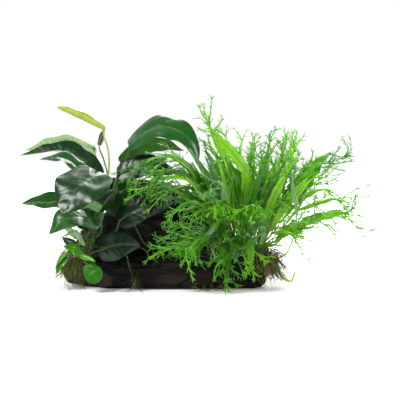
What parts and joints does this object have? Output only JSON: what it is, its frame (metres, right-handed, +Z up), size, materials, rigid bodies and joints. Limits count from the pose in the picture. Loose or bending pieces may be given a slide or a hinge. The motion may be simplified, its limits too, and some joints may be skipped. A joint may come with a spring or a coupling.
{
  "type": "java fern and anubias on driftwood",
  "caption": "Forked dark driftwood log planted with a broad-leaved anubias on the left and a lace java fern with finely forked crests on the right; rests on a surface.",
  "frame": {"origin": "point on the flat underside of the lower limb, below the middle of the planted log", "axes": "+X along the log from the broad-leaved plant to the fern, +Y to the back of the log, +Z up"},
  "size_m": [0.3567, 0.1623, 0.1881],
  "materials": {
    "driftwood": "satin",
    "creeping_stem": "satin",
    "anubias_leaf": "satin",
    "fern_frond": "satin",
    "fine_root": "matte"
  },
  "bodies": {
    "root": {"driftwood_lower_limb": "driftwood", "driftwood_middle_limb": "driftwood", "driftwood_back_limb": "driftwood", "anubias_rhizome": "creeping_stem", "anubias_side_shoot": "creeping_stem", "fern_rhizome_front": "creeping_stem", "fern_rhizome_back": "creeping_stem", "anubias_leaf_01": "anubias_leaf", "anubias_leaf_02": "anubias_leaf", "anubias_leaf_03": "anubias_leaf", "anubias_leaf_04": "anubias_leaf", "anubias_leaf_05": "anubias_leaf", "anubias_leaf_06": "anubias_leaf", "anubias_leaf_07": "anubias_leaf", "anubias_leaf_08": "anubias_leaf", "anubias_leaf_09": "anubias_leaf", "anubias_leaf_10": "anubias_leaf", "anubias_leaf_11": "anubias_leaf", "anubias_leaf_12": "anubias_leaf", "anubias_leaf_13": "anubias_leaf", "anubias_leaf_14": "anubias_leaf", "anubias_leaf_15": "anubias_leaf", "anubias_leaf_16": "anubias_leaf", "anubias_leaf_17": "anubias_leaf", "anubias_leaf_18": "anubias_leaf", "fern_frond_01": "fern_frond", "fern_frond_02": "fern_frond", "fern_frond_03": "fern_frond", "fern_frond_04": "fern_frond", "fern_frond_05": "fern_frond", "fern_frond_06": "fern_frond", "fern_frond_07": "fern_frond", "fern_frond_08": "fern_frond", "fern_frond_09": "fern_frond", "fern_frond_10": "fern_frond", "fern_frond_11": "fern_frond", "fern_frond_12": "fern_frond", "fern_frond_13": "fern_frond", "fern_frond_14": "fern_frond", "fern_frond_15": "fern_frond", "fern_frond_16": "fern_frond", "fern_frond_17": "fern_frond", "fern_frond_18": "fern_frond", "fern_frond_19": "fern_frond", "fern_frond_20": "fern_frond", "fern_frond_21": "fern_frond", "fern_frond_22": "fern_frond", "fern_frond_23": "fern_frond", "fern_frond_24": "fern_frond", "fern_frond_25": "fern_frond", "fern_frond_26": "fern_frond", "fern_frond_27": "fern_frond", "fern_frond_28": "fern_frond", "aerial_root_1": "fine_root", "aerial_root_2": "fine_root", "aerial_root_3": "fine_root", "left_root_tuft": "fine_root", "front_root_tuft": "fine_root", "right_root_tuft": "fine_root"}
  },
  "joints": []
}
